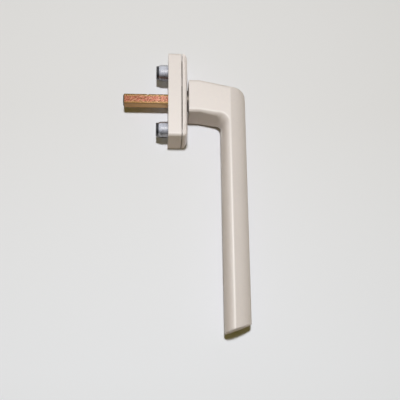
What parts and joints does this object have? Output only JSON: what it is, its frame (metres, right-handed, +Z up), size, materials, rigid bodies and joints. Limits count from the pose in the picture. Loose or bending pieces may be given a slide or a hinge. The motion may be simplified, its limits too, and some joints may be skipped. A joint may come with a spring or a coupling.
{
  "type": "patio door handle",
  "caption": "Slim rectangular rosette with a cranked lever that hangs down, a square spindle and two round clamping lugs, for a patio door.",
  "frame": {"origin": "centre of the spindle in the plane of the door face, on the rosette's back", "axes": "+Z up with the lever hanging down, +X to the right as seen from the room, +Y along the spindle into the door"},
  "size_m": [0.026, 0.0849, 0.191],
  "materials": {
    "coated_metal": "satin",
    "zinc_plated_steel": "bright zinc",
    "passivated_steel": "yellow passivated",
    "spring_steel": "plain",
    "dark_steel": "black oxide",
    "plain_plastic": "matt"
  },
  "bodies": {
    "rosette": {"rosette_body": "coated_metal", "back_plate": "zinc_plated_steel", "back_plate_screws": "zinc_plated_steel", "bearing_bush": "plain_plastic", "thrust_washer": "plain_plastic", "left_index_leaf": "spring_steel", "right_index_leaf": "spring_steel", "upper_clamp_sleeve": "zinc_plated_steel", "lower_clamp_sleeve": "zinc_plated_steel", "upper_cone_nut": "dark_steel", "lower_cone_nut": "dark_steel", "upper_fixing_screw": "zinc_plated_steel", "lower_fixing_screw": "zinc_plated_steel"},
    "lever": {"lever": "coated_metal", "index_cam": "spring_steel", "retaining_ring": "spring_steel", "square_spindle": "passivated_steel", "spindle_pin": "spring_steel"},
    "cover_guide": {"neck_ring": "plain_plastic"},
    "cover": {"cover_plate": "coated_metal"}
  },
  "joints": [
    {"name": "lever_turn", "type": "hinge", "parent": "rosette", "child": "lever", "pos_m": [0, 0, 0], "axis": [0, 1, 0], "continuous": true, "deforming": ["left_index_leaf", "right_index_leaf"]},
    {"name": "cover_lift", "type": "slide", "parent": "rosette", "child": "cover_guide", "axis": [0, -1, 0], "range_m": [0, 0.0007]},
    {"name": "cover_turn", "type": "hinge", "parent": "cover_guide", "child": "cover", "pos_m": [0, 0, 0], "axis": [0, 1, 0], "continuous": true}
  ]
}
